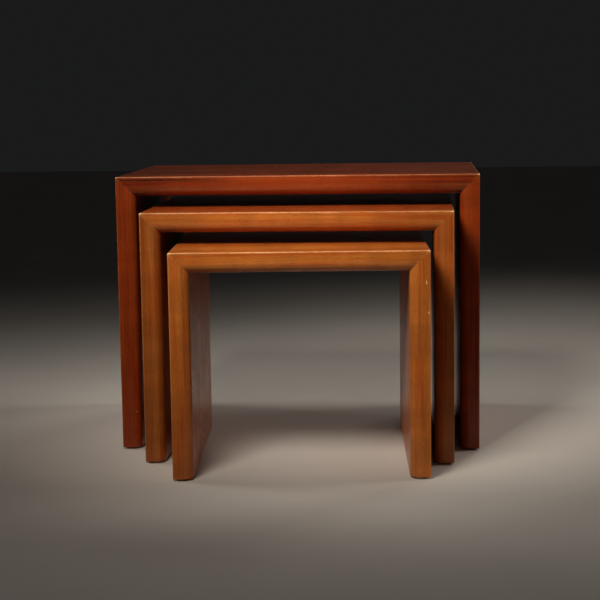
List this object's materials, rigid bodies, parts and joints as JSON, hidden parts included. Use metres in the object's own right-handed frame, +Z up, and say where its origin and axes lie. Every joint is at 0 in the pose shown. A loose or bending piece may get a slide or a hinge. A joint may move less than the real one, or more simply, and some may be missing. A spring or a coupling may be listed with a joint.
{
  "type": "nest of tables",
  "caption": "Nest of low side tables, each an upside-down U of thick mitred boards, the smaller ones sliding out from under the largest.",
  "frame": {"origin": "on the floor, at the middle of the box around the whole nest as it stands", "axes": "+X across the width to the viewer's right, +Y from the fronts to the backs, +Z up"},
  "size_m": [0.6, 0.5994, 0.46],
  "materials": {
    "large_boards": "satin lacquer over dark red-brown veneer",
    "large_lippings": "satin lacquer over solid red-brown wood",
    "medium_boards": "satin lacquer over mid brown veneer",
    "medium_lippings": "satin lacquer over solid mid brown wood",
    "small_boards": "satin lacquer over golden brown veneer",
    "small_lippings": "satin lacquer over solid golden brown wood",
    "tongue_plywood": "bare birch plywood",
    "glide_nylon": "dark moulded nylon"
  },
  "bodies": {
    "large_table": {"large_top_board": "large_boards", "large_left_board": "large_boards", "large_right_board": "large_boards", "large_top_front_lipping": "large_lippings", "large_left_front_lipping": "large_lippings", "large_right_front_lipping": "large_lippings", "large_top_back_lipping": "large_lippings", "large_left_back_lipping": "large_lippings", "large_right_back_lipping": "large_lippings", "large_left_mitre_tongue": "tongue_plywood", "large_right_mitre_tongue": "tongue_plywood", "large_glides": "glide_nylon"},
    "medium_table": {"medium_top_board": "medium_boards", "medium_left_board": "medium_boards", "medium_right_board": "medium_boards", "medium_top_front_lipping": "medium_lippings", "medium_left_front_lipping": "medium_lippings", "medium_right_front_lipping": "medium_lippings", "medium_top_back_lipping": "medium_lippings", "medium_left_back_lipping": "medium_lippings", "medium_right_back_lipping": "medium_lippings", "medium_left_mitre_tongue": "tongue_plywood", "medium_right_mitre_tongue": "tongue_plywood", "medium_glides": "glide_nylon"},
    "small_table": {"small_top_board": "small_boards", "small_left_board": "small_boards", "small_right_board": "small_boards", "small_top_front_lipping": "small_lippings", "small_left_front_lipping": "small_lippings", "small_right_front_lipping": "small_lippings", "small_top_back_lipping": "small_lippings", "small_left_back_lipping": "small_lippings", "small_right_back_lipping": "small_lippings", "small_left_mitre_tongue": "tongue_plywood", "small_right_mitre_tongue": "tongue_plywood", "small_glides": "glide_nylon"}
  },
  "joints": [
    {"name": "medium_slide", "type": "slide", "parent": "large_table", "child": "medium_table", "axis": [0, -1, 0], "range_m": [-0.1, 0.3]},
    {"name": "small_slide", "type": "slide", "parent": "large_table", "child": "small_table", "axis": [0, -1, 0], "range_m": [-0.204, 0.6]}
  ]
}
